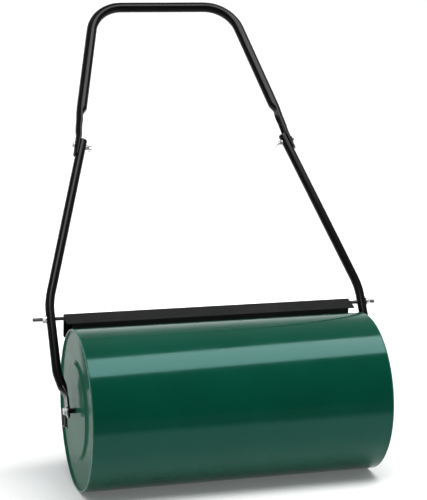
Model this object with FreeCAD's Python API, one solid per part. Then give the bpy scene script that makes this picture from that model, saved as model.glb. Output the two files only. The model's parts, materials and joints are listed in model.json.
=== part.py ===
import FreeCAD, Part
import math
import os

# Lawn roller: a hollow, water-fillable steel drum that turns on two axle bolts in a
# push handle, with a sheet scraper bar hinged on a threaded cross rod behind the drum's top.
# Millimetres. +X runs along the drum's axis, -Y is the front, +Z is up.
# The origin is on the ground, below the middle of the drum.

V = FreeCAD.Vector
X_AXIS = V(1, 0, 0)
ORIGIN = V(0, 0, 0)

# Drum
DRUM_R = 160.0
DRUM_HALF = 300.0
SHELL_T = 1.5
RIM_PROUD = 2.5
END_FACE_X = 299.5
BOSS_FACE_X = 303.5
DISH_R = 96.0
DISH_SLOPE = 4.0
DISC_T = 1.5

# Axle: a bolt in a blind boss clamps a sleeve, and the arm's flat end turns on the sleeve
BOLT_R = 4.0
SLEEVE_R = 5.0
SLEEVE_END_X = 320.6
HUB_R = 14.0
HUB_LENGTH = 36.0
RUNNING_GAP = 0.06
WASHER_T = 1.6

# Filler opening in the left end
NECK_RADIUS_POS = 123.0
NECK_ANGLE = -21.0
NECK_R = 17.0
NECK_BORE_R = 14.06
NECK_FACE_X = 300.5
PLUG_HEAD_R = 19.0

# Lower arms, drawn upright in a plane through the axle and then leaned back
LEAN = 30.55
ARM_R = 9.5
ARM_WALL = 1.5
ARM_W = 331.0
ARM_BEND_S = 226.4
ARM_TOP_W = 221.2
ARM_TOP_S = 581.9
ARM_FOOT_W = 318.0
PLATE_T = 4.0
PLATE_WIDTH = 28.0

# Upper handle
HANDLE_R = 11.0
HANDLE_WALL = 1.5
HANDLE_TILT = 2.9
SPLICE_S = 569.0
HANDLE_FOOT_W = 213.1
HANDLE_FOOT_T = 92.0
HANDLE_TOP_W = 153.5
HANDLE_TOP_T = 342.0
HANDLE_BEND_R = 75.0
CUP_R_IN = 9.7
CUP_HALF = 12.0
CUP_TIP = 6.0
CUP_OUT = 15.0
CUP_TAPER = 0.064
CUP_BOTTOM = -22.0
CUP_TOP = 21.0
HANDLE_BOLT_R = 3.0

# Cross rod and scraper
ROD_R = 4.0
ROD_Y = 97.5
ROD_Z = 325.2
ROD_LEFT = -368.0
ROD_RIGHT = 360.0
THREAD_R = 3.9
THREAD_START_X = 349.6
THREAD_TAPER = 0.8
NUT_AF = 13.0
NUT_T = 6.5
SHEET_T = 1.2
BLADE_HALF = 304.0
LIP_HALF = 290.5
CORNER_R = 3.0
LUG_X = 284.0
LUG_T = 3.0
LIP_FOOT = (66.0, 306.8)
FRONT_FOLD = (66.0, 321.0)
BACK_FOLD = (106.0, 333.3)
BLADE_FOOT = (112.0, 282.4)


def ring(x0, x1, r_out, r_in=0.0, y=0.0, z=0.0):
    """A round bar or tube along X from x0 to x1."""
    low = min(x0, x1)
    length = abs(x1 - x0)
    body = Part.makeCylinder(r_out, length, V(low, y, z), X_AXIS)
    if r_in > 0:
        body = body.cut(Part.makeCylinder(r_in, length + 2, V(low - 1, y, z), X_AXIS))
    return body


def hexagon(x0, x1, across_flats, y=0.0, z=0.0):
    """A hexagonal bar along X with its rim turned down to a 30 degree chamfer."""
    radius = across_flats / math.sqrt(3)
    points = []
    for step in range(7):
        angle = math.radians(60 * step)
        points.append(V(min(x0, x1), y + radius * math.cos(angle), z + radius * math.sin(angle)))
    body = Part.Face(Part.makePolygon(points)).extrude(V(abs(x1 - x0), 0, 0))
    round_r = across_flats / 2 * 1.04
    depth = radius - round_r
    length = abs(x1 - x0)
    low = min(x0, x1)
    turned = ring(low, low + length, radius)
    edges = [edge for edge in turned.Edges if isinstance(edge.Curve, Part.Circle)]
    turned = turned.makeChamfer(depth * 0.58, edges)
    turned.translate(V(0, y, z))
    return body.common(turned)


def revolve_profile(points):
    """Turn a closed (x, r) outline about the X axis."""
    outline = [V(x, 0, r) for x, r in points]
    outline.append(outline[0])
    return Part.Face(Part.makePolygon(outline)).revolve(ORIGIN, X_AXIS, 360)


def on_right(shape):
    return shape


def on_left(shape):
    """Mirror a part built for the right end to the left end."""
    return shape.mirror(ORIGIN, X_AXIS)


def to_axle(shape):
    """Move a part drawn about the origin to the drum's axis."""
    moved = shape.copy()
    moved.translate(V(0, 0, DRUM_R))
    return moved


def lean_back(shape):
    """Lean a part drawn upright over the axle into the handle's rest position."""
    leaned = shape.copy()
    leaned.rotate(ORIGIN, X_AXIS, -LEAN)
    return to_axle(leaned)


def bent_wire(points, radii):
    """A wire through straight runs, with an arc of the given radius at each inner corner."""
    edges = []
    start = points[0]
    for index in range(1, len(points) - 1):
        corner = points[index]
        back = (points[index - 1] - corner).normalize()
        ahead = (points[index + 1] - corner).normalize()
        half = back.getAngle(ahead) / 2
        tangent = radii[index - 1] / math.tan(half)
        enter = corner + back * tangent
        leave = corner + ahead * tangent
        middle = (back + ahead).normalize()
        centre = corner + middle * (radii[index - 1] / math.sin(half))
        crown = centre - middle * radii[index - 1]
        edges.append(Part.makeLine(start, enter))
        edges.append(Part.Arc(enter, crown, leave).toShape())
        start = leave
    edges.append(Part.makeLine(start, points[-1]))
    return Part.Wire(edges)


def swept_bar(path, radius):
    """A round bar swept along a wire."""
    first = path.Edges[0]
    start = first.valueAt(first.FirstParameter)
    direction = first.tangentAt(first.FirstParameter)
    section = Part.Wire([Part.makeCircle(radius, start, direction)])
    return path.makePipeShell([section], True, True)


def spline_loop(points):
    """A smooth closed wire through a loop of points."""
    curve = Part.BSplineCurve()
    curve.interpolate(Points=points, PeriodicFlag=True)
    return Part.Wire([curve.toShape()])


def oval_section(centre, along, side, half_side, half_v, power):
    """A closed superellipse section: power 2 is an ellipse, higher is flatter."""
    across = along.cross(side).normalize()
    points = []
    for step in range(32):
        angle = math.radians(360.0 * step / 32)
        cosine = math.cos(angle)
        sine = math.sin(angle)
        a = math.copysign(abs(cosine) ** (2.0 / power), cosine) * half_side
        b = math.copysign(abs(sine) ** (2.0 / power), sine) * half_v
        points.append(centre + side * a + across * b)
    return spline_loop(points)


# ---------------------------------------------------------------- drum

def make_drum_shell():
    return to_axle(ring(-DRUM_HALF, DRUM_HALF, DRUM_R, DRUM_R - SHELL_T))


def make_end_disc():
    """A pressed end: flange inside the shell, rolled rim over its edge, raised centre."""
    inner = DRUM_R - SHELL_T
    rim_x = DRUM_HALF + RIM_PROUD
    face = END_FACE_X
    back = END_FACE_X - DISC_T
    outline = [
        (BOSS_FACE_X, BOLT_R + 0.1),
        (BOSS_FACE_X, DISH_R - DISH_SLOPE),
        (BOSS_FACE_X - 0.6, DISH_R - DISH_SLOPE + 1.6),
        (face + 0.6, DISH_R + DISH_SLOPE - 1.6),
        (face, DISH_R + DISH_SLOPE),
        (face, inner - 4.5),
        (face + 0.7, inner - 3.0),
        (rim_x - 0.5, inner - 2.4),
        (rim_x, inner - 1.6),
        (rim_x, DRUM_R - 0.8),
        (rim_x - 0.7, DRUM_R),
        (DRUM_HALF, DRUM_R),
        (DRUM_HALF, inner),
        (DRUM_HALF - 14, inner),
        (DRUM_HALF - 14, inner - DISC_T),
        (back, inner - DISC_T),
        (back, DISH_R + DISH_SLOPE + 0.4),
        (BOSS_FACE_X - DISC_T, DISH_R - DISH_SLOPE - 0.4),
        (BOSS_FACE_X - DISC_T, BOLT_R + 0.1),
    ]
    return revolve_profile(outline)


def neck_centre():
    angle = math.radians(NECK_ANGLE)
    return NECK_RADIUS_POS * math.cos(angle), NECK_RADIUS_POS * math.sin(angle)


def make_left_end_disc():
    y, z = neck_centre()
    disc = on_left(make_end_disc())
    disc = disc.cut(ring(-DRUM_HALF - 5, -DRUM_HALF + 8, NECK_R + 0.05, 0, y, z))
    return to_axle(disc)


def make_right_end_disc():
    return to_axle(on_right(make_end_disc()))


def make_filler_neck():
    y, z = neck_centre()
    return to_axle(ring(-NECK_FACE_X + 12.5, -NECK_FACE_X, NECK_R, NECK_BORE_R, y, z))


def make_filler_gasket():
    y, z = neck_centre()
    return to_axle(ring(-NECK_FACE_X - 0.05, -NECK_FACE_X - 1.5, 18.2, NECK_BORE_R, y, z))


def make_filler_plug():
    """A screw plug: shank, flanged head with a rounded rim, and a finger bar across it."""
    y, z = neck_centre()
    seat = -NECK_FACE_X - 1.55
    head = ring(seat, seat - 4.4, PLUG_HEAD_R, 0, y, z)
    rim = [edge for edge in head.Edges if isinstance(edge.Curve, Part.Circle)]
    outer_rim = min(rim, key=lambda edge: edge.CenterOfMass.x)
    head = head.makeFillet(1.2, [outer_rim])
    shank = ring(seat + 10.0, seat, NECK_BORE_R - RUNNING_GAP, 10.5, y, z)
    bar = Part.makeBox(2.6, 6.0, 30.0, V(seat - 6.4, y - 3.0, z - 15.0))
    upright = [edge for edge in bar.Edges if edge.CenterOfMass.x < seat - 6.3]
    bar = bar.makeFillet(1.2, upright)
    return to_axle(head.fuse([shank, bar]).removeSplitter())


def make_hub_boss():
    """The blind threaded boss welded behind the middle of each end disc."""
    outer_x = BOSS_FACE_X - DISC_T
    boss = ring(outer_x, outer_x - HUB_LENGTH, HUB_R)
    return boss.cut(ring(outer_x + 1, outer_x - 28, BOLT_R + 0.05))


def make_axle_sleeve():
    return ring(BOSS_FACE_X, SLEEVE_END_X, SLEEVE_R, BOLT_R + 0.05)


def make_axle_washer():
    return ring(SLEEVE_END_X, SLEEVE_END_X + WASHER_T, 9.0, BOLT_R + 0.05)


def make_axle_bolt():
    seat = SLEEVE_END_X + WASHER_T
    head = hexagon(seat, seat + 5.3, NUT_AF)
    return head.fuse(ring(seat, BOSS_FACE_X - 26, BOLT_R)).removeSplitter()


# ---------------------------------------------------------------- lower arms

def arm_direction():
    """The way the upper run of an arm points, in the handle's plane."""
    return V(ARM_TOP_W - ARM_W, 0, ARM_TOP_S - ARM_BEND_S).normalize()


def splice_point(distance):
    """A point on the arm's upper run, measured along it from the splice bolt."""
    direction = arm_direction()
    scale = (SPLICE_S - ARM_BEND_S) / direction.z
    return V(ARM_W, 0, ARM_BEND_S) + direction * (scale + distance)


def outward():
    """Across the arm's upper run, pointing away from the middle of the roller."""
    direction = arm_direction()
    return V(direction.z, 0, -direction.x)


def make_arm():
    """One lower arm: round tube, two bends, and a foot pressed flat around the axle hole."""
    foot_start = V(ARM_FOOT_W + 5.6, 0, 50)
    points = [V(ARM_TOP_W, 0, ARM_TOP_S), V(ARM_W, 0, ARM_BEND_S), V(ARM_W, 0, 80), foot_start]
    path = bent_wire(points, [150.0, 60.0])
    outer = swept_bar(path, ARM_R)
    inner = swept_bar(path, ARM_R - ARM_WALL)
    down = (foot_start - points[2]).normalize()
    side = V(-down.z, 0, down.x)
    half_plate = PLATE_T / 2 - 0.1
    sections = [
        oval_section(foot_start - down * 5, down, side, ARM_R - 0.2, ARM_R - 0.2, 2.0),
        oval_section(foot_start + down * 1, down, side, ARM_R - 0.3, ARM_R, 2.0),
        oval_section(V(ARM_FOOT_W + 2.2, 0, 38), V(0, 0, -1), X_AXIS, 5.6, 12.0, 2.2),
        oval_section(V(ARM_FOOT_W, 0, 27), V(0, 0, -1), X_AXIS, half_plate, PLATE_WIDTH / 2 - 0.3, 4.5),
        oval_section(V(ARM_FOOT_W, 0, 22), V(0, 0, -1), X_AXIS, half_plate, PLATE_WIDTH / 2 - 0.3, 4.5),
    ]
    pressed = Part.makeLoft(sections, True, False)
    left = ARM_FOOT_W - PLATE_T / 2
    plate = Part.makeBox(PLATE_T, PLATE_WIDTH, 26, V(left, -PLATE_WIDTH / 2, 0))
    tip = ring(left, left + PLATE_T, PLATE_WIDTH / 2)
    foot = plate.fuse([tip]).removeSplitter()
    arm = outer.fuse([pressed, foot])
    arm = arm.cut(inner.cut(Part.makeBox(60, 60, 20, V(ARM_FOOT_W - 30, -30, 38))))
    arm = arm.cut(ring(left - 5, left + PLATE_T + 5, SLEEVE_R + RUNNING_GAP))
    rod_s = math.hypot(ROD_Y, ROD_Z - DRUM_R)
    arm = arm.cut(ring(ARM_W - 20, ARM_W + 20, ROD_R + 0.15, 0, 0, rod_s))
    bolt_hole = Part.makeCylinder(HANDLE_BOLT_R + 0.2, 60, splice_point(0) - outward() * 30, outward())
    return arm.cut(bolt_hole)


def make_arm_plug():
    """The domed plastic plug in the top end of an arm."""
    direction = arm_direction()
    top = V(ARM_TOP_W, 0, ARM_TOP_S)
    stem = Part.makeCylinder(ARM_R - ARM_WALL, 8, top - direction * 8, direction)
    cap = Part.makeCylinder(ARM_R - 0.3, 2.6, top, direction)
    rims = [edge for edge in cap.Edges if isinstance(edge.Curve, Part.Circle)]
    upper = max(rims, key=lambda edge: edge.CenterOfMass.z)
    cap = cap.makeFillet(1.8, [upper])
    return stem.fuse(cap).removeSplitter()


# ---------------------------------------------------------------- upper handle

def handle_point(w, t):
    """A point in the upper handle's plane, which tilts a little further back than the arms."""
    tilt = math.radians(HANDLE_TILT)
    return V(w, t * math.sin(tilt), SPLICE_S + t * math.cos(tilt))


def crescent(bite, side, along, reach, wall):
    """A crushed tube's crescent: an oval outside, and an inside that wraps the circle at bite."""
    across = along.cross(side).normalize()
    radius = CUP_R_IN + wall
    half_angle = math.acos(CUP_TIP / radius)
    tip_v = (CUP_HALF - wall + radius * math.sin(half_angle)) / 2
    flat = []
    for step in range(15):
        turn = math.radians(-81 + 162.0 * step / 14)
        flat.append((CUP_TIP + (reach - wall) * math.cos(turn), (CUP_HALF - wall) * math.sin(turn)))
    flat.append((CUP_TIP - 1.6 + 0.85 * wall, tip_v))
    for step in range(15):
        turn = half_angle * (1 - step / 7.0)
        flat.append((radius * math.cos(turn), radius * math.sin(turn)))
    flat.append((CUP_TIP - 1.6 + 0.85 * wall, -tip_v))
    return [bite + side * u + across * v for u, v in flat]


def cup_section(distance, wall):
    """The crescent where it wraps the outer side of the arm."""
    reach = CUP_OUT + CUP_TAPER * distance - CUP_TIP
    return crescent(splice_point(distance), outward(), arm_direction(), reach, wall)


def pressed_section(centre, along, tip, out, wall):
    """The crescent above the arm, where it follows the upper tube's own line."""
    side = V(along.z, 0, -along.x).normalize()
    return crescent(centre + side * (tip - CUP_TIP), side, along, out - tip, wall)


def round_section(centre, along, radius):
    """The round tube as a loop whose points match the crescent's, one for one."""
    side = V(along.z, 0, -along.x).normalize()
    across = along.cross(side).normalize()
    angles = [-81 + 162.0 * step / 14 for step in range(15)] + [90.0]
    angles += [99 + 162.0 * step / 14 for step in range(15)] + [270.0]
    points = []
    for angle in angles:
        turn = math.radians(angle)
        points.append(centre + (side * math.cos(turn) + across * math.sin(turn)) * radius)
    return points


def half_curves(points):
    """A loop of 32 points as two open splines that meet at its outer and inner middles."""
    edges = []
    for half in (points[7:24], points[23:] + points[:8]):
        curve = Part.BSplineCurve()
        curve.interpolate(Points=half)
        edges.append(curve.toShape())
    return edges


def solid_through(rows):
    """A solid skinned with ruled bands between each row of points and the next."""
    loops = [half_curves(row) for row in rows]
    faces = [Part.Face(Part.Wire(loops[0])), Part.Face(Part.Wire(loops[-1]))]
    for lower, upper in zip(loops, loops[1:]):
        for first, second in zip(lower, upper):
            faces.append(Part.makeRuledSurface(first, second))
    shell = Part.Shell(faces)
    shell.sewShape()
    return Part.makeSolid(shell)


def blend_rows(rows, steps):
    """Add rows of points between the given ones, on smooth curves through them."""
    padded = [rows[0]] + rows + [rows[-1]]
    blended = []
    for index in range(len(rows) - 1):
        before, first, second, after = padded[index:index + 4]
        for step in range(steps):
            f = step / steps
            weights = (
                (-f + 2 * f ** 2 - f ** 3) / 2,
                (2 - 5 * f ** 2 + 3 * f ** 3) / 2,
                (f + 4 * f ** 2 - 3 * f ** 3) / 2,
                (f ** 3 - f ** 2) / 2,
            )
            row = []
            for a, b, c, d in zip(before, first, second, after):
                row.append(a * weights[0] + b * weights[1] + c * weights[2] + d * weights[3])
            blended.append(row)
    return blended + [rows[-1]]


def make_handle_leg(sign, wall):
    """The crushed lower end of one handle leg; wall is 0 outside and the tube's wall inside."""
    foot = handle_point(HANDLE_FOOT_W, HANDLE_FOOT_T)
    top = handle_point(HANDLE_TOP_W, HANDLE_TOP_T)
    along = (top - foot).normalize()
    stretch = (top - foot).Length / (HANDLE_TOP_T - HANDLE_FOOT_T)
    radius = HANDLE_R - wall - 0.15

    def on_leg(t):
        return foot + along * ((t - HANDLE_FOOT_T) * stretch)

    crushed = pressed_section(on_leg(77), along, -3.0, 9.6, wall)
    opened = round_section(on_leg(77), along, radius)
    sections = [cup_section(distance, wall) for distance in (CUP_BOTTOM, -8.0, 7.0, CUP_TOP)]
    if wall > 0:
        sections[0] = cup_section(CUP_BOTTOM - 1.0, wall)
    sections.append(pressed_section(on_leg(36) - V(0, 0.5, 0), along, -3.9, 7.3, wall))
    sections.append(pressed_section(on_leg(49), along, -3.1, 8.2, wall))
    sections.append(pressed_section(on_leg(62), along, -3.0, 8.9, wall))
    half_open = [(first + second) * 0.5 for first, second in zip(crushed, opened)]
    sections.append(half_open)
    sections.append(round_section(on_leg(HANDLE_FOOT_T - 1.2), along, radius))
    sections.append(round_section(on_leg(HANDLE_FOOT_T + 6), along, radius - 0.1))
    rows = []
    for row in blend_rows(sections, 4):
        rows.append([V(sign * point.x, point.y, point.z) for point in row])
    return solid_through(rows[::-sign])


def make_upper_handle():
    points = [
        handle_point(HANDLE_FOOT_W, HANDLE_FOOT_T),
        handle_point(HANDLE_TOP_W, HANDLE_TOP_T),
        handle_point(-HANDLE_TOP_W, HANDLE_TOP_T),
        handle_point(-HANDLE_FOOT_W, HANDLE_FOOT_T),
    ]
    path = bent_wire(points, [HANDLE_BEND_R, HANDLE_BEND_R])
    handle = swept_bar(path, HANDLE_R).fuse([make_handle_leg(1, 0.0), make_handle_leg(-1, 0.0)])
    hollow = swept_bar(path, HANDLE_R - HANDLE_WALL)
    hollow = hollow.fuse([make_handle_leg(1, HANDLE_WALL), make_handle_leg(-1, HANDLE_WALL)])
    handle = handle.cut(hollow)
    hole = Part.makeCylinder(HANDLE_BOLT_R + 0.2, 60, splice_point(0) - outward() * 10, outward())
    handle = handle.cut(hole).cut(on_left(hole))
    return lean_back(handle)


def make_handle_bolt():
    """A domed bolt through the crescent and the arm."""
    head_seat = splice_point(0) + outward() * (CUP_OUT + 0.5)
    head = Part.makeCylinder(7.0, 3.6, head_seat, outward())
    rims = [edge for edge in head.Edges if isinstance(edge.Curve, Part.Circle)]
    outer_rim = max(rims, key=lambda edge: edge.CenterOfMass.x)
    head = head.makeFillet(2.8, [outer_rim])
    shank = Part.makeCylinder(HANDLE_BOLT_R, 38, head_seat, outward() * -1)
    return head.fuse(shank).removeSplitter()


def make_handle_washer():
    seat = splice_point(0) - outward() * ARM_R
    washer = Part.makeCylinder(6.2, 1.2, seat, outward() * -1)
    return washer.cut(Part.makeCylinder(HANDLE_BOLT_R + 0.15, 5, seat + outward(), outward() * -1))


def make_wing_nut():
    """A wing nut: tapered body and two thin rounded wings that flare away from the arm."""
    seat = splice_point(0) - outward() * (ARM_R + 1.25)
    inward = outward() * -1
    body = Part.makeCone(5.6, 4.4, 5.5, seat, inward)
    across = arm_direction().cross(outward()).normalize()
    wings = []
    for sign in (1, -1):
        side = across * sign
        outline = [
            seat + inward * 1.2 + side * 3.6,
            seat + inward * 4.6 + side * 11.5,
            seat + inward * 8.8 + side * 14.0,
            seat + inward * 11.4 + side * 12.6,
            seat + inward * 10.2 + side * 8.6,
            seat + inward * 5.4 + side * 3.6,
        ]
        wire = Part.makePolygon([point - arm_direction() * 0.9 for point in outline + outline[:1]])
        wings.append(Part.Face(wire).extrude(arm_direction() * 1.8))
    nut = body.fuse(wings).removeSplitter()
    bore = Part.makeCylinder(HANDLE_BOLT_R + RUNNING_GAP, 30, seat - inward * 5, inward)
    return nut.cut(bore)


# ---------------------------------------------------------------- cross rod

def make_cross_rod():
    """An M8 rod; past the nuts its bare ends stand out at the thread's own diameter."""
    rod = ring(ROD_LEFT, ROD_RIGHT, THREAD_R, 0, ROD_Y, ROD_Z)
    ends = [edge for edge in rod.Edges if isinstance(edge.Curve, Part.Circle)]
    rod = rod.makeChamfer(0.9, ends)
    shank = ring(-THREAD_START_X, THREAD_START_X, ROD_R, 0, ROD_Y, ROD_Z)
    tapers = []
    for sign in (1, -1):
        foot = V(sign * THREAD_START_X, ROD_Y, ROD_Z)
        tapers.append(Part.makeCone(ROD_R, THREAD_R, THREAD_TAPER, foot, X_AXIS * sign))
    return rod.fuse([shank] + tapers).removeSplitter()


def make_rod_washer():
    start = ARM_W + ARM_R
    return ring(start, start + WASHER_T, 8.4, ROD_R + 0.05, ROD_Y, ROD_Z)


def make_rod_nut():
    start = ARM_W + ARM_R + WASHER_T
    nut = hexagon(start, start + NUT_T, NUT_AF, ROD_Y, ROD_Z)
    return nut.cut(ring(start - 1, start + NUT_T + 1, ROD_R + 0.05, 0, ROD_Y, ROD_Z))


# ---------------------------------------------------------------- scraper

def offset_path(path, distance):
    """Shift an open (y, z) polyline sideways, keeping its corners sharp."""
    normals = []
    for first, second in zip(path, path[1:]):
        length = math.hypot(second[0] - first[0], second[1] - first[1])
        normals.append(((second[1] - first[1]) / length, -(second[0] - first[0]) / length))
    moved = [(path[0][0] + normals[0][0] * distance, path[0][1] + normals[0][1] * distance)]
    for index in range(1, len(path) - 1):
        before = normals[index - 1]
        after = normals[index]
        scale = distance / (1 + before[0] * after[0] + before[1] * after[1])
        y = path[index][0] + (before[0] + after[0]) * scale
        z = path[index][1] + (before[1] + after[1]) * scale
        moved.append((y, z))
    last = normals[-1]
    moved.append((path[-1][0] + last[0] * distance, path[-1][1] + last[1] * distance))
    return moved


def prism(outline, x0, x1):
    """Extrude a closed (y, z) outline along X."""
    points = [V(x0, y, z) for y, z in outline]
    points.append(points[0])
    return Part.Face(Part.makePolygon(points)).extrude(V(x1 - x0, 0, 0))


def edges_at(shape, points):
    """The edges whose middles lie nearest to the given points."""
    found = []
    for point in points:
        found.append(min(shape.Edges, key=lambda edge: (edge.CenterOfMass - point).Length))
    return found


def make_scraper_blade():
    """One folded sheet: short front lip, sloping top and a long rear blade."""
    outer = [LIP_FOOT, FRONT_FOLD, BACK_FOLD, BLADE_FOOT]
    inner = offset_path(outer, SHEET_T)
    blade = prism(outer + inner[::-1], -BLADE_HALF, BLADE_HALF)
    folds = [V(0, y, z) for y, z in (outer[1], outer[2])]
    blade = blade.makeFillet(2.2, edges_at(blade, folds))
    inner_folds = [V(0, y, z) for y, z in (inner[1], inner[2])]
    blade = blade.makeFillet(1.0, edges_at(blade, inner_folds))
    for sign in (1, -1):
        x0 = min(sign * LIP_HALF, sign * (BLADE_HALF + 1))
        corner = V(x0, LIP_FOOT[0] - 3.5, FRONT_FOLD[1] - 22.2)
        blade = blade.cut(Part.makeBox(BLADE_HALF + 1 - LIP_HALF, 5.0, 20.0, corner))
        round_x = min(sign * (BLADE_HALF - CORNER_R), sign * (BLADE_HALF + 1))
        corner = V(round_x, LIP_FOOT[0] - 1, FRONT_FOLD[1] - 22.2)
        square = Part.makeBox(CORNER_R + 1, CORNER_R + 1, 40.0, corner)
        middle = V(sign * (BLADE_HALF - CORNER_R), LIP_FOOT[0] + CORNER_R, corner.z)
        blade = blade.cut(square.cut(Part.makeCylinder(CORNER_R, 40.0, middle)))
    mid_y = (BLADE_FOOT[0] + inner[3][0]) / 2
    mid_z = (BLADE_FOOT[1] + inner[3][1]) / 2
    feet = [V(side * BLADE_HALF, mid_y, mid_z) for side in (1, -1)]
    blade = blade.makeFillet(6.0, edges_at(blade, feet))
    lip_y = LIP_FOOT[0] + SHEET_T / 2
    lips = [V(side * LIP_HALF, lip_y, LIP_FOOT[1]) for side in (1, -1)]
    return blade.makeFillet(4.0, edges_at(blade, lips))


def make_scraper_lug():
    """A plate welded across the fold near each end, with the hole that turns on the rod."""
    inner = offset_path([LIP_FOOT, FRONT_FOLD, BACK_FOLD, BLADE_FOOT], SHEET_T)
    lug = prism(inner, LUG_X, LUG_X + LUG_T)
    middle = LUG_X + LUG_T / 2
    corners = [V(middle, y, z) for y, z in (inner[1], inner[2])]
    lug = lug.makeFillet(2.0, edges_at(lug, corners))
    lug = lug.cut(ring(LUG_X - 1, LUG_X + LUG_T + 1, DRUM_R + 11, 0, 0, DRUM_R))
    hole = ring(LUG_X - 1, LUG_X + LUG_T + 1, ROD_R + RUNNING_GAP, 0, ROD_Y, ROD_Z)
    return lug.cut(hole)


def build_parts():
    parts = {
        "drum_shell": make_drum_shell(),
        "left_end_disc": make_left_end_disc(),
        "right_end_disc": make_right_end_disc(),
        "filler_neck": make_filler_neck(),
        "filler_gasket": make_filler_gasket(),
        "filler_plug": make_filler_plug(),
        "upper_handle": make_upper_handle(),
        "cross_rod": make_cross_rod(),
        "scraper_blade": make_scraper_blade(),
    }
    for side, place in (("left", on_left), ("right", on_right)):
        parts[side + "_hub_boss"] = to_axle(place(make_hub_boss()))
        parts[side + "_axle_sleeve"] = to_axle(place(make_axle_sleeve()))
        parts[side + "_axle_washer"] = to_axle(place(make_axle_washer()))
        parts[side + "_axle_bolt"] = to_axle(place(make_axle_bolt()))
        parts[side + "_arm"] = lean_back(place(make_arm()))
        parts[side + "_arm_plug"] = lean_back(place(make_arm_plug()))
        parts[side + "_handle_bolt"] = lean_back(place(make_handle_bolt()))
        parts[side + "_handle_washer"] = lean_back(place(make_handle_washer()))
        parts[side + "_wing_nut"] = lean_back(place(make_wing_nut()))
        parts[side + "_rod_washer"] = place(make_rod_washer())
        parts[side + "_rod_nut"] = place(make_rod_nut())
        parts[side + "_scraper_lug"] = place(make_scraper_lug())
    return parts


os.makedirs("parts", exist_ok=True)
for name, shape in build_parts().items():
    shape.exportStep("parts/" + name + ".step")
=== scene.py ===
import json
import math

import bmesh
import bpy
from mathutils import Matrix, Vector


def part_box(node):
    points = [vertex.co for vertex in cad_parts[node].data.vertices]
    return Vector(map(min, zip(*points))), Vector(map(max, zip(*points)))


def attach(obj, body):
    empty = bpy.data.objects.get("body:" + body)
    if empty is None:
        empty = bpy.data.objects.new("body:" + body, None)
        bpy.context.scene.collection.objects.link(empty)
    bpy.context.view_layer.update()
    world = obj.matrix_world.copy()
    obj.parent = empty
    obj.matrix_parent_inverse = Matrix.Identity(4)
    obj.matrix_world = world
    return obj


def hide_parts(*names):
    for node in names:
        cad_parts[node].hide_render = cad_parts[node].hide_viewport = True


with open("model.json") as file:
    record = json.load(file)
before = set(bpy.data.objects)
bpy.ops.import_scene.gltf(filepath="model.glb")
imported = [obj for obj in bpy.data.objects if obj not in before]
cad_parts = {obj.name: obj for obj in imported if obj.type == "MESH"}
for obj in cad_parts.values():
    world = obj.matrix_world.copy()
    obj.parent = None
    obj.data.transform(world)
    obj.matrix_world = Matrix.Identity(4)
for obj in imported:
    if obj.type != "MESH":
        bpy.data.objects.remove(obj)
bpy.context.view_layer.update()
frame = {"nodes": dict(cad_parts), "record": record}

JOINTS = {joint["name"]: joint for joint in frame["record"]["behaviour"]["joints"]}

# Camera: where it stands, which way it looks and how long its lens is
CAMERA_PLACE = Vector((-0.9143, -3.0763, 0.9775))
CAMERA_YAW = 0.2825
CAMERA_PITCH = 0.1583
CAMERA_LENS = 118.1

# Surroundings: their strength in front of the roller and behind it, and their colour
WORLD_FRONT = 0.12
WORLD_BACK = 0.45
WORLD_TINT = (0.95, 0.98, 1.0)

# The white paper under the roller: where it fades out in front, and its faint glow
PAPER_START = -0.42
PAPER_END = -0.66
PAPER_GLOW = 0.12
PAPER_WHITE = (0.93, 0.93, 0.93)
FLOOR_GREY = (0.2, 0.2, 0.2)

# Softboxes: where each stands, what it faces, its size and how brightly its face glows
OVERHEAD = ((0.3, -0.85, 2.8), (0.1, -0.4, 0.0), (3.4, 1.3), 7.3)
WALL_WASH = ((0.0, 1.3, 1.5), (0.0, 3.6, 0.1), (6.0, 0.5), 10.0)

# The back wall: where the floor starts to curve, how tightly, and how far all of it reaches
FLOOR_FRONT = -3.2
CURVE_START = 3.0
CURVE_R = 1.5
WALL_TOP = 5.0
FLOOR_HALF = 6.0

# The drum stands on the ground, so its radius is its axle's height
AXLE_Z = JOINTS["drum_spin"]["pos_m"][2]
DRUM_R = AXLE_Z
DRUM_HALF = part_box("drum_shell")[1][0]

# The rims stand proud of the shell's ends; the arms' middles lie inside the rod's washers
RIM_X = DRUM_HALF + 0.0025
ARM_R = 0.0095
ARM_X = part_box("right_rod_washer")[0][0] - ARM_R

# How far each wing nut's seat lies inward of its arm's middle
NUT_SEAT = 0.01075

# Fasteners: an M8 thread's pitch, and a 13 mm hexagon with its corner radius and bore
THREAD_PITCH = 0.00125
HEX_FLATS = 0.013
HEX_CORNER_R = 0.0078
HEX_BORE_R = 0.0041


def new_material(name):
    material = bpy.data.materials.new(name)
    material.use_nodes = True
    nodes = material.node_tree.nodes
    return material, nodes, material.node_tree.links, nodes["Principled BSDF"]


def noise(nodes, links, scale, detail=4.0):
    """A noise texture in object space."""
    coords = nodes.new("ShaderNodeTexCoord")
    texture = nodes.new("ShaderNodeTexNoise")
    texture.inputs["Scale"].default_value = scale
    texture.inputs["Detail"].default_value = detail
    links.new(coords.outputs["Object"], texture.inputs["Vector"])
    return texture.outputs["Fac"]


def ramp(nodes, links, value, stops):
    """A ramp between two colours; stops are (position, colour)."""
    node = nodes.new("ShaderNodeValToRGB")
    for element, (position, colour) in zip(node.color_ramp.elements, stops):
        element.position = position
        element.color = (*colour, 1.0)
    links.new(value, node.inputs["Fac"])
    return node.outputs["Color"]


def spread(nodes, links, value, low, high):
    """Map a 0 to 1 value onto a range of numbers."""
    node = nodes.new("ShaderNodeMapRange")
    node.inputs["From Min"].default_value = 0.3
    node.inputs["From Max"].default_value = 0.7
    node.inputs["To Min"].default_value = low
    node.inputs["To Max"].default_value = high
    links.new(value, node.inputs["Value"])
    return node.outputs["Result"]


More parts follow.
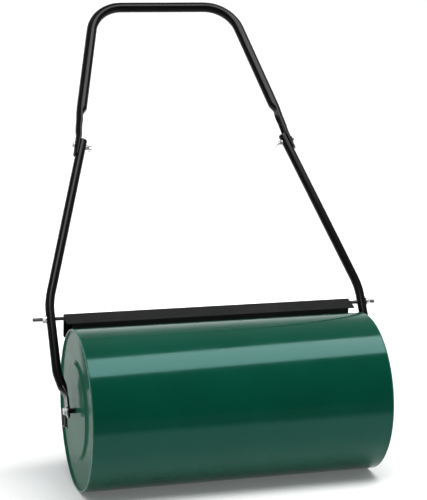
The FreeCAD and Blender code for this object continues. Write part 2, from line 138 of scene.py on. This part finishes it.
def bump(nodes, links, shader, height, strength, distance):
    node = nodes.new("ShaderNodeBump")
    node.inputs["Strength"].default_value = strength
    node.inputs["Distance"].default_value = distance
    links.new(height, node.inputs["Height"])
    links.new(node.outputs["Normal"], shader.inputs["Normal"])


def enamel(name, dark, light, rough, ior, peel, sheen=(1.0, 1.0, 1.0)):
    """Paint: slightly uneven colour, uneven gloss and an orange-peel surface."""
    material, nodes, links, shader = new_material(name)
    tint = ramp(nodes, links, noise(nodes, links, 9.0), [(0.3, dark), (0.7, light)])
    links.new(tint, shader.inputs["Base Color"])
    gloss = spread(nodes, links, noise(nodes, links, 38.0, 6.0), rough[0], rough[1])
    links.new(gloss, shader.inputs["Roughness"])
    shader.inputs["IOR"].default_value = ior
    shader.inputs["Specular Tint"].default_value = (*sheen, 1.0)
    bump(nodes, links, shader, noise(nodes, links, 260.0, 2.0), peel, 0.0004)
    return material


def zinc(name):
    """Bright zinc plate: faint mottling and fine turning marks."""
    material, nodes, links, shader = new_material(name)
    shader.inputs["Metallic"].default_value = 1.0
    stops = [(0.3, (0.5, 0.5, 0.49)), (0.7, (0.78, 0.79, 0.8))]
    tint = ramp(nodes, links, noise(nodes, links, 120.0), stops)
    links.new(tint, shader.inputs["Base Color"])
    gloss = spread(nodes, links, noise(nodes, links, 300.0), 0.2, 0.42)
    links.new(gloss, shader.inputs["Roughness"])
    bump(nodes, links, shader, noise(nodes, links, 900.0), 0.15, 0.0001)
    return material


def moulded(name, dark, light, rough):
    """Moulded plastic or rubber with a fine grain."""
    material, nodes, links, shader = new_material(name)
    tint = ramp(nodes, links, noise(nodes, links, 60.0), [(0.3, dark), (0.7, light)])
    links.new(tint, shader.inputs["Base Color"])
    gloss = spread(nodes, links, noise(nodes, links, 200.0), rough[0], rough[1])
    links.new(gloss, shader.inputs["Roughness"])
    bump(nodes, links, shader, noise(nodes, links, 1500.0), 0.3, 0.0001)
    return material


def rod_steel_and_painted_dark(name):
    """The cross rod: zinc thread outside the arms; between them the steel is coloured black, a
    painted reflection of the dark surroundings.
    """
    material, nodes, links, shader = new_material(name)
    coords = nodes.new("ShaderNodeTexCoord")
    split = nodes.new("ShaderNodeSeparateXYZ")
    links.new(coords.outputs["Object"], split.inputs["Vector"])
    distance = nodes.new("ShaderNodeMath")
    distance.operation = "ABSOLUTE"
    links.new(split.outputs["X"], distance.inputs[0])
    outside = nodes.new("ShaderNodeMath")
    outside.operation = "GREATER_THAN"
    outside.inputs[1].default_value = ARM_X
    links.new(distance.outputs["Value"], outside.inputs[0])
    steel_stops = [(0.3, (0.10, 0.10, 0.10)), (0.7, (0.22, 0.22, 0.22))]
    steel = ramp(nodes, links, noise(nodes, links, 120.0), steel_stops)
    # Painted reflection: black non-metal between the arms, where the steel only reflects dark
    # surroundings
    black_stops = [(0.3, (0.008, 0.008, 0.008)), (0.7, (0.014, 0.014, 0.014))]
    black = ramp(nodes, links, noise(nodes, links, 60.0), black_stops)
    mix = nodes.new("ShaderNodeMix")
    mix.data_type = "RGBA"
    # A mix node has sockets for every data type: 0 is the factor, 6, 7 and output 2 are colours
    links.new(outside.outputs["Value"], mix.inputs[0])
    links.new(black, mix.inputs[6])
    links.new(steel, mix.inputs[7])
    links.new(mix.outputs[2], shader.inputs["Base Color"])
    links.new(outside.outputs["Value"], shader.inputs["Metallic"])
    gloss = spread(nodes, links, noise(nodes, links, 300.0), 0.3, 0.45)
    links.new(gloss, shader.inputs["Roughness"])
    bump(nodes, links, shader, noise(nodes, links, 900.0), 0.15, 0.0001)
    return material


# Paints: darkest and lightest base colour, roughness range, index of refraction, orange peel
DRUM_PAINT = ((0.0, 0.052, 0.028), (0.0, 0.060, 0.033), (0.10, 0.15), 1.38, 0.05)
# The end discs take a lighter copy of the drum's green: painted light standing for the bright floor
# they reflect
DRUM_END_PAINTED_LIGHT = ((0.014, 0.105, 0.064), (0.020, 0.120, 0.074), (0.10, 0.16), 1.07, 0.04)
# The hem takes a much lighter green than the drum's paint: a painted highlight line along the rim
HEM_HIGHLIGHT_PAINT = ((0.06, 0.17, 0.13), (0.09, 0.20, 0.16), (0.3, 0.4), 1.6, 0.1)
FRAME_PAINT = ((0.002, 0.002, 0.002), (0.004, 0.004, 0.004), (0.16, 0.22), 1.25, 0.08)
SCRAPER_PAINT = ((0.006, 0.006, 0.006), (0.010, 0.010, 0.010), (0.42, 0.52), 1.2, 0.12)

# The tint of the drum paint's reflections
TEAL = (0.5, 1.0, 1.0)

# Moulded parts: darkest and lightest base colour, roughness range
PLASTIC = ((0.006, 0.006, 0.006), (0.011, 0.011, 0.011), (0.4, 0.55))
RUBBER = ((0.008, 0.008, 0.008), (0.012, 0.012, 0.012), (0.7, 0.85))

MATERIALS = {
    "drum_green": enamel("drum_green", *DRUM_PAINT, sheen=TEAL),
    "drum_end_painted_light_green": enamel("drum_end_painted_light_green", *DRUM_END_PAINTED_LIGHT),
    "hem_painted_highlight_green": enamel("hem_painted_highlight_green", *HEM_HIGHLIGHT_PAINT),
    "frame_black": enamel("frame_black", *FRAME_PAINT),
    "scraper_black": enamel("scraper_black", *SCRAPER_PAINT),
    "zinc_steel": zinc("zinc_steel"),
    "black_plastic": moulded("black_plastic", *PLASTIC),
    "black_rubber": moulded("black_rubber", *RUBBER),
    "rod_steel_and_painted_dark": rod_steel_and_painted_dark("rod_steel_and_painted_dark"),
}
OWN_MATERIAL = {
    # The rod's black middle is a painted reflection of dark surroundings
    "cross_rod": "rod_steel_and_painted_dark",
    # The end discs' lighter green is painted light, a lighter copy of the drum paint
    "left_end_disc": "drum_end_painted_light_green",
    "right_end_disc": "drum_end_painted_light_green",
}

for entry in frame["record"]["subparts"]:
    node = frame["nodes"][entry["node"]]
    node.data.materials.clear()
    node.data.materials.append(MATERIALS[OWN_MATERIAL.get(entry["node"], entry["material_slot"])])


# ---------------------------------------------------------------- made pieces

def turned(origin, axis, profile, segments=72, shape=None, closed=True):
    """Vertices and faces of an outline of (distance, radius) turned about an axis.

    shape(angle, distance, radius) gives the radius at each angle, for hexagons and threads.
    A closed outline runs back to its start; an open one gets flat ends.
    """
    axis = Vector(axis).normalized()
    side = axis.orthogonal().normalized()
    if abs(axis.x) > 0.9:
        side = Vector((0.0, 0.0, 1.0))
        side = (side - axis * side.dot(axis)).normalized()
    across = axis.cross(side)
    verts = []
    for distance, radius in profile:
        for step in range(segments):
            angle = 2 * math.pi * step / segments
            reach = shape(angle, distance, radius) if shape else radius
            spoke = side * math.cos(angle) + across * math.sin(angle)
            verts.append(Vector(origin) + axis * distance + spoke * reach)
    faces = []
    bands = len(profile) if closed else len(profile) - 1
    for band in range(bands):
        low = band * segments
        high = (band + 1) % len(profile) * segments
        for step in range(segments):
            after = (step + 1) % segments
            faces.append((low + step, low + after, high + after, high + step))
    if not closed:
        last = (len(profile) - 1) * segments
        faces.append(tuple(range(segments))[::-1])
        faces.append(tuple(range(last, last + segments)))
    return verts, faces


def flat_bar(points, half_widths, flat_way, half_thickness, sides=12):
    """Vertices and faces of an oval bar along points; flat_way is its thin direction."""
    flat = Vector(flat_way).normalized()
    verts = []
    for index, point in enumerate(points):
        before = points[max(index - 1, 0)]
        after = points[min(index + 1, len(points) - 1)]
        wide = (after - before).cross(flat).normalized()
        for step in range(sides):
            angle = 2 * math.pi * step / sides
            aside = wide * (math.cos(angle) * half_widths[index])
            up = flat * (math.sin(angle) * half_thickness)
            verts.append(point + aside + up)
    faces = []
    for index in range(len(points) - 1):
        for step in range(sides):
            after = (step + 1) % sides
            low = index * sides
            faces.append((low + step, low + after, low + sides + after, low + sides + step))
    faces.append(tuple(range(sides))[::-1])
    faces.append(tuple(range(len(verts) - sides, len(verts))))
    return verts, faces


def make_piece(name, shapes, material, body, replaced=(), smooth_angle=40.0):
    """Join shapes into one object, shade it, hide the parts it replaces and attach it to its body."""
    verts = []
    faces = []
    for some_verts, some_faces in shapes:
        start = len(verts)
        verts += some_verts
        faces += [tuple(start + index for index in face) for face in some_faces]
    mesh = bpy.data.meshes.new(name)
    mesh.from_pydata(verts, [], faces)
    mesh.materials.append(MATERIALS[material])
    shaped = bmesh.new()
    shaped.from_mesh(mesh)
    bmesh.ops.recalc_face_normals(shaped, faces=shaped.faces)
    shaped.to_mesh(mesh)
    shaped.free()
    mesh.shade_smooth()
    mesh.set_sharp_from_angle(angle=math.radians(smooth_angle))
    piece = bpy.data.objects.new(name, mesh)
    bpy.context.scene.collection.objects.link(piece)
    if replaced:
        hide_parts(*replaced)
    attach(piece, body)


def middle_of(node):
    low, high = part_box(node)
    return (Vector(low) + Vector(high)) / 2


def bead_ring(centre, radius, thickness, ripple, ripples):
    """A weld or hem bead that runs round the drum's axis, with a slightly uneven back."""
    outline = []
    for step in range(12):
        turn = 2 * math.pi * step / 12
        outline.append((thickness * math.cos(turn), radius + thickness * math.sin(turn)))

    def uneven(angle, distance, reach):
        swell = math.sin(angle * ripples) + 0.5 * math.sin(angle * ripples * 0.37 + 1.0)
        return reach + ripple * swell * (reach - radius) / thickness

    return turned(centre, (1.0, 0.0, 0.0), outline, 360, uneven)


def make_rim_hem(side, sign):
    """The rolled hem where the end disc folds over the shell, coloured a lighter green than the drum:
    a painted highlight along the rim.
    """
    centre = (sign * (RIM_X - 0.0008), 0.0, AXLE_Z)
    hem = bead_ring(centre, DRUM_R - 0.0014, 0.0013, 0.0001, 61)
    make_piece(side + "_rim_hem", [hem], "hem_painted_highlight_green", "drum")


def make_hub_weld(side, sign):
    """The weld round the axle sleeve where it meets the end disc."""
    node = side + "_axle_sleeve"
    low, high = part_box(node)
    foot = high[0] if sign < 0 else low[0]
    weld = bead_ring((foot + sign * 0.0003, 0.0, AXLE_Z), 0.0053, 0.0009, 0.0002, 14)
    make_piece(side + "_hub_weld", [weld], "drum_green", "drum")


def make_neck_weld():
    """The weld round the filler neck."""
    middle = middle_of("filler_gasket")
    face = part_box("left_end_disc")[0][0] + 0.0032
    weld = bead_ring((face, middle.y, middle.z), 0.0204, 0.0012, 0.0002, 40)
    make_piece("filler_neck_weld", [weld], "drum_green", "drum")


def make_shell_seam():
    """The long weld where the shell's sheet meets itself, at the back of the drum."""
    angle = math.radians(18.0)
    points = []
    widths = []
    steps = 240
    for step in range(steps + 1):
        x = -DRUM_HALF + 0.002 + (2 * DRUM_HALF - 0.004) * step / steps
        reach = DRUM_R - 0.0004 + 0.00012 * math.sin(step * 2.1)
        points.append(Vector((x, reach * math.cos(angle), AXLE_Z + reach * math.sin(angle))))
        widths.append(0.0022 + 0.0003 * math.sin(step * 1.3))
    seam = flat_bar(points, widths, (0.0, math.cos(angle), math.sin(angle)), 0.0008)
    make_piece("shell_seam", [seam], "drum_green", "drum")


def thread(pitch, depth, first, last):
    """A shape function that cuts a screw thread between two distances along the axis."""
    def cut(angle, distance, radius):
        if not first <= distance <= last:
            return radius
        phase = (distance / pitch - angle / (2 * math.pi)) % 1.0
        return radius - depth * abs(2 * phase - 1)
    return cut


def fine_profile(first, last, step, radius):
    """Outline points of one radius, spaced closely enough to carry a thread."""
    count = int(round((last - first) / step))
    return [(first + (last - first) * index / count, radius) for index in range(count + 1)]


def make_threaded_rod():
    """The M8 cross rod, threaded where its ends run through the arms and nuts."""
    low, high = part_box("cross_rod")
    radius = (high[2] - low[2]) / 2
    thread_start = ARM_X - 0.012
    profile = [(low[0], radius - 0.0012)]
    profile += fine_profile(low[0] + 0.0009, -thread_start, 0.00018, radius)
    profile += fine_profile(thread_start, high[0] - 0.0009, 0.00018, radius)
    profile.append((high[0], radius - 0.0012))
    middle = middle_of("cross_rod")
    ends = thread(THREAD_PITCH, 0.0004, thread_start, 1.0)

    def both_ends(angle, distance, reach):
        return ends(angle, abs(distance), reach) if distance > 0 else ends(-angle, -distance, reach)

    rod = turned((0.0, middle.y, middle.z), (1.0, 0.0, 0.0), profile, 24, both_ends, closed=False)
    make_piece("threaded_rod", [rod], "rod_steel_and_painted_dark", "handle_frame", ["cross_rod"], 60.0)


def hexagon(flats):
    """A shape function that trims a round outline to a hexagon."""
    def trim(angle, distance, radius):
        flat = flats / 2 / math.cos((angle + math.pi / 6) % (math.pi / 3) - math.pi / 6)
        return min(flat, radius)
    return trim


def make_rod_nut(side):
    """A hexagon nut with turned corners, open for the rod."""
    name = side + "_rod_nut"
    low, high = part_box(name)
    middle = middle_of(name)
    half = (high[0] - low[0]) / 2
    outline = [
        (-half, HEX_BORE_R),
        (-half, 0.0061),
        (-half + 0.0004, 0.0067),
        (-half + 0.0010, HEX_CORNER_R),
        (half - 0.0010, HEX_CORNER_R),
        (half - 0.0004, 0.0067),
        (half, 0.0061),
        (half, HEX_BORE_R),
    ]
    nut = turned(middle, (1.0, 0.0, 0.0), outline, 72, hexagon(HEX_FLATS))
    make_piece(side + "_rod_hex_nut", [nut], "zinc_steel", "handle_frame", [name], 25.0)


def make_axle_bolt(side, sign):
    """An M8 hexagon bolt: chamfered, dimpled head and a threaded shank in the hub."""
    name = side + "_axle_bolt"
    low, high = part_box(name)
    tip = high[0] if sign < 0 else low[0]
    length = high[0] - low[0]
    seat = length - 0.0053
    head = [
        (seat, HEX_BORE_R),
        (seat, HEX_CORNER_R),
        (length - 0.0012, HEX_CORNER_R),
        (length - 0.0005, 0.0066),
        (length, 0.0060),
        (length, 0.0044),
        (length - 0.0007, 0.0030),
    ]
    axis = (float(sign), 0.0, 0.0)
    origin = (tip, 0.0, AXLE_Z)
    shank = fine_profile(0.0, seat, 0.0003, 0.004)
    cap = turned(origin, axis, head, 72, hexagon(HEX_FLATS), closed=False)
    screw = turned(origin, axis, shank, 24, thread(THREAD_PITCH, 0.0006, 0.0, 0.022), closed=False)
    make_piece(side + "_axle_hex_bolt", [cap, screw], "zinc_steel", "drum", [name], 25.0)


def wing_path(seat, inward, side):
    """The middle line of one wing, from the nut's foot out to its curled tip."""
    corners = [(0.0022, 0.0034), (0.0042, 0.0090), (0.0072, 0.0128), (0.0112, 0.0142)]
    points = []
    for step in range(13):
        t = step / 12
        weights = ((1 - t) ** 3, 3 * t * (1 - t) ** 2, 3 * t ** 2 * (1 - t), t ** 3)
        depth = sum(weight * corner[0] for weight, corner in zip(weights, corners))
        reach = sum(weight * corner[1] for weight, corner in zip(weights, corners))
        points.append(seat + inward * depth + side * reach)
    return points


def make_wing_nut(side):
    """A pressed wing nut: a tapered, waisted body and two thin curled wings."""
    joint = JOINTS[side + "_wing_turn"]
    place = Vector(joint["pos_m"])
    outward = Vector(joint["axis"]).normalized()
    lean = math.atan2(place.y, place.z - AXLE_Z)
    across = Vector((0.0, math.cos(lean), -math.sin(lean)))
    arm_way = outward.cross(across)
    inward = -outward
    seat = place + inward * NUT_SEAT
    outline = [
        (0.0, 0.0031),
        (0.0, 0.0054),
        (0.0008, 0.0057),
        (0.0016, 0.0048),
        (0.0046, 0.0041),
        (0.0055, 0.0036),
        (0.0055, 0.0031),
    ]
    shapes = [turned(seat, inward, outline, 48)]
    widths = [0.0020 - 0.0006 * math.sin(math.pi * step / 12) for step in range(12)] + [0.0011]
    for sign in (1, -1):
        shapes.append(flat_bar(wing_path(seat, inward, across * sign), widths, arm_way, 0.0009))
    nut = side + "_wing_nut"
    make_piece(side + "_wings", shapes, "zinc_steel", side + "_wing", [nut], 50.0)


def make_filler_cap():
    """The filler plug: scalloped head, raised finger bar and a coarse thread."""
    low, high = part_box("filler_plug")
    middle = middle_of("filler_plug")
    length = high[0] - low[0]
    thread_end = 0.010
    head_end = thread_end + 0.0044
    screw = [(0.0, 0.0105)] + fine_profile(0.0, thread_end, 0.0003, 0.014) + [(thread_end, 0.0105)]
    head = [
        (thread_end, 0.0100),
        (thread_end, 0.0182),
        (thread_end + 0.0008, 0.0189),
        (head_end - 0.0014, 0.0189),
        (head_end - 0.0004, 0.0184),
        (head_end, 0.0172),
        (head_end, 0.0150),
        (head_end - 0.0006, 0.0140),
        (head_end - 0.0006, 0.0020),
    ]
    bar = [
        (head_end - 0.0010, 1.0),
        (length - 0.0008, 1.0),
        (length - 0.0002, 0.93),
        (length, 0.80),
        (length, 0.10),
    ]

    def scallop(angle, distance, radius):
        return radius - 0.0005 * max(0.0, math.cos(angle * 16)) if radius > 0.018 else radius

    def stadium(angle, distance, scale):
        along = abs(math.cos(angle) / 0.0148) ** 5
        wide = abs(math.sin(angle) / 0.0030) ** 5
        return (along + wide) ** -0.2 - (1 - scale) * 0.0028

    coarse = thread(0.0025, 0.0011, 0.0008, thread_end - 0.0008)

    def thread_outside(angle, distance, radius):
        return coarse(angle, distance, radius) if radius > 0.011 else radius

    axis = (-1.0, 0.0, 0.0)
    origin = (high[0], middle.y, middle.z)
    shapes = [
        turned(origin, axis, screw, 72, thread_outside),
        turned(origin, axis, head, 192, scallop, closed=False),
        turned(origin, axis, bar, 96, stadium, closed=False),
    ]
    plug = ["filler_plug"]
    make_piece("filler_cap", shapes, "black_plastic", "filler_screw", plug, 35.0)


for side, sign in (("left", -1), ("right", 1)):
    make_rim_hem(side, sign)
    make_hub_weld(side, sign)
    make_rod_nut(side)
    make_axle_bolt(side, sign)
    make_wing_nut(side)
make_neck_weld()
make_shell_seam()
make_threaded_rod()
make_filler_cap()


# ---------------------------------------------------------------- stage

def sweep_paper(name):
    """Matt white paper that glows faintly and ends softly in a grey floor in front."""
    material, nodes, links, shader = new_material(name)
    coords = nodes.new("ShaderNodeTexCoord")
    split = nodes.new("ShaderNodeSeparateXYZ")
    reach = nodes.new("ShaderNodeMapRange")
    reach.interpolation_type = "SMOOTHSTEP"
    reach.inputs["From Min"].default_value = PAPER_END
    reach.inputs["From Max"].default_value = PAPER_START
    links.new(coords.outputs["Object"], split.inputs["Vector"])
    links.new(split.outputs["Y"], reach.inputs["Value"])
    stops = [(0.0, FLOOR_GREY), (1.0, PAPER_WHITE)]
    tint = ramp(nodes, links, reach.outputs["Result"], stops)
    links.new(tint, shader.inputs["Base Color"])
    links.new(tint, shader.inputs["Emission Color"])
    shader.inputs["Emission Strength"].default_value = PAPER_GLOW
    shader.inputs["Roughness"].default_value = 0.9
    shader.inputs["Specular IOR Level"].default_value = 0.1
    return material


def make_stage():
    """A pale floor that curves up into a pale back wall behind the roller."""
    profile = [(FLOOR_FRONT, 0.0), (CURVE_START, 0.0)]
    for step in range(1, 13):
        angle = math.radians(90.0 * step / 12)
        profile.append((CURVE_START + CURVE_R * math.sin(angle), CURVE_R - CURVE_R * math.cos(angle)))
    profile.append((CURVE_START + CURVE_R, WALL_TOP))
    verts = []
    for y, z in profile:
        verts += [(-FLOOR_HALF, y, z), (FLOOR_HALF, y, z)]
    faces = [(2 * i, 2 * i + 1, 2 * i + 3, 2 * i + 2) for i in range(len(profile) - 1)]
    mesh = bpy.data.meshes.new("studio_floor")
    mesh.from_pydata(verts, [], faces)
    mesh.materials.append(sweep_paper("studio_floor"))
    for polygon in mesh.polygons:
        polygon.use_smooth = True
    floor = bpy.data.objects.new("studio_floor", mesh)
    bpy.context.scene.collection.objects.link(floor)


def area_light(name, place, target, size, radiance):
    """A rectangular softbox whose face glows with the given radiance."""
    light = bpy.data.lights.new(name, "AREA")
    light.shape = "RECTANGLE"
    light.size, light.size_y = size
    light.energy = radiance * math.pi * size[0] * size[1]
    lamp = bpy.data.objects.new(name, light)
    lamp.location = place
    lamp.rotation_mode = "QUATERNION"
    lamp.rotation_quaternion = (Vector(target) - Vector(place)).to_track_quat("-Z", "Y")
    bpy.context.scene.collection.objects.link(lamp)


def make_lights():
    area_light("overhead", *OVERHEAD)
    area_light("wall", *WALL_WASH)


def make_world():
    """A cool grey room, dim in front of the roller and brighter behind it."""
    world = bpy.data.worlds.new("studio")
    world.use_nodes = True
    nodes = world.node_tree.nodes
    links = world.node_tree.links
    coords = nodes.new("ShaderNodeTexCoord")
    split = nodes.new("ShaderNodeSeparateXYZ")
    glow = nodes.new("ShaderNodeMapRange")
    glow.inputs["From Min"].default_value = -1.0
    glow.inputs["From Max"].default_value = 0.4
    glow.inputs["To Min"].default_value = WORLD_FRONT
    glow.inputs["To Max"].default_value = WORLD_BACK
    links.new(coords.outputs["Generated"], split.inputs["Vector"])
    links.new(split.outputs["Y"], glow.inputs["Value"])
    background = nodes["Background"]
    background.inputs["Color"].default_value = (*WORLD_TINT, 1.0)
    links.new(glow.outputs["Result"], background.inputs["Strength"])
    bpy.context.scene.world = world


def make_camera():
    camera = bpy.data.objects.new("camera", bpy.data.cameras.new("camera"))
    camera.data.lens = CAMERA_LENS
    camera.data.sensor_width = 36.0
    camera.location = CAMERA_PLACE
    forward = Vector((
        math.sin(CAMERA_YAW) * math.cos(CAMERA_PITCH),
        math.cos(CAMERA_YAW) * math.cos(CAMERA_PITCH),
        -math.sin(CAMERA_PITCH),
    ))
    camera.rotation_mode = "QUATERNION"
    camera.rotation_quaternion = forward.to_track_quat("-Z", "Y")
    bpy.context.scene.collection.objects.link(camera)
    bpy.context.scene.camera = camera


make_stage()
make_lights()
make_world()
make_camera()
bpy.context.scene.view_settings.view_transform = "Standard"
